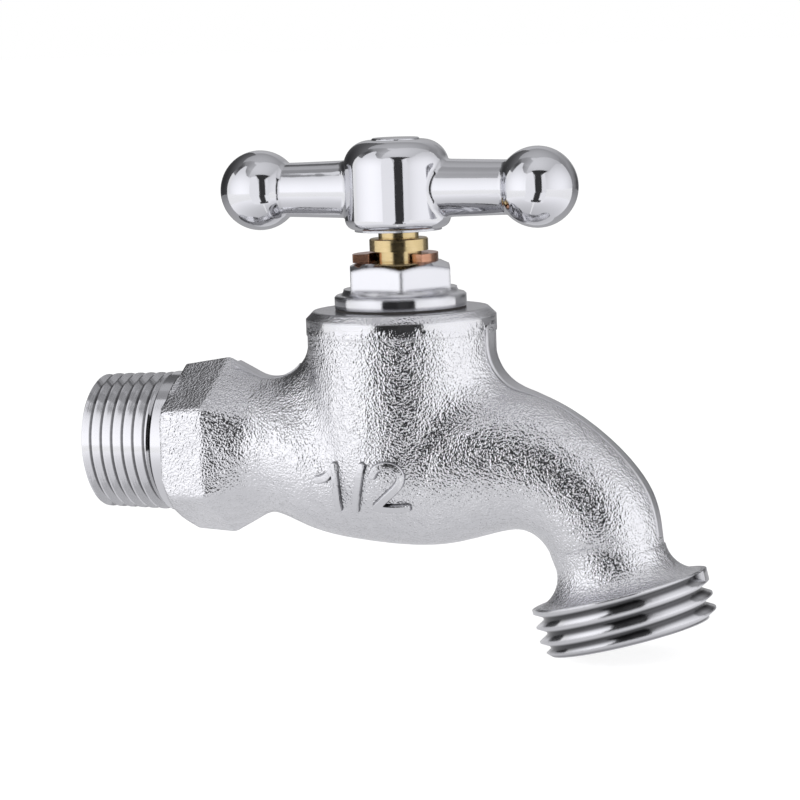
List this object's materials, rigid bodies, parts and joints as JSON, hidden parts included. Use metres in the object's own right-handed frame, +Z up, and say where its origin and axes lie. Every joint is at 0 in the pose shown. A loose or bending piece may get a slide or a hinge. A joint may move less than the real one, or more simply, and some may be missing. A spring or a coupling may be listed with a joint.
{
  "type": "garden tap",
  "caption": "Screw-down garden tap with a taper-threaded inlet, cast hexagon, domed body, T handle with ball ends and a bent spout with a hose thread.",
  "frame": {"origin": "centre of the inlet's end face, on the inlet axis", "axes": "+X from the inlet towards the spout, +Z up along the spindle, the handle's arms along X when shut"},
  "size_m": [0.0976, 0.0288, 0.0778],
  "materials": {
    "cast_chrome": "rough casting, chrome plated",
    "polished_chrome": "polished chrome plate",
    "brass": "turned brass",
    "copper": "bare copper strip",
    "steel": "machined steel",
    "rubber": "black rubber",
    "fibre": "red fibre",
    "nylon": "plain nylon"
  },
  "bodies": {
    "tap": {"tap_body": "cast_chrome", "bonnet": "polished_chrome", "bonnet_gasket": "fibre", "spindle_clip": "copper"},
    "handle": {"handle": "polished_chrome", "handle_cap": "polished_chrome", "handle_screw": "steel", "spring_washer": "steel", "spindle": "brass", "spindle_o_ring_lower": "rubber", "spindle_o_ring_upper": "rubber", "friction_washer": "nylon"},
    "valve": {"valve_carrier": "brass", "seat_washer": "rubber", "washer_retainer": "brass", "valve_screw": "brass"}
  },
  "joints": [
    {"name": "spindle_turn", "type": "hinge", "parent": "tap", "child": "handle", "pos_m": [0.0498, 0, 0.0388], "axis": [0, 0, 1], "range_deg": [0, 990]},
    {"name": "valve_lift", "type": "slide", "parent": "tap", "child": "valve", "axis": [0, 0, 1], "range_m": [0, 0.00413]}
  ],
  "couplings": [
    {"joint": "spindle_turn", "follows": "valve_lift", "rad_per_m": 4188.8}
  ]
}
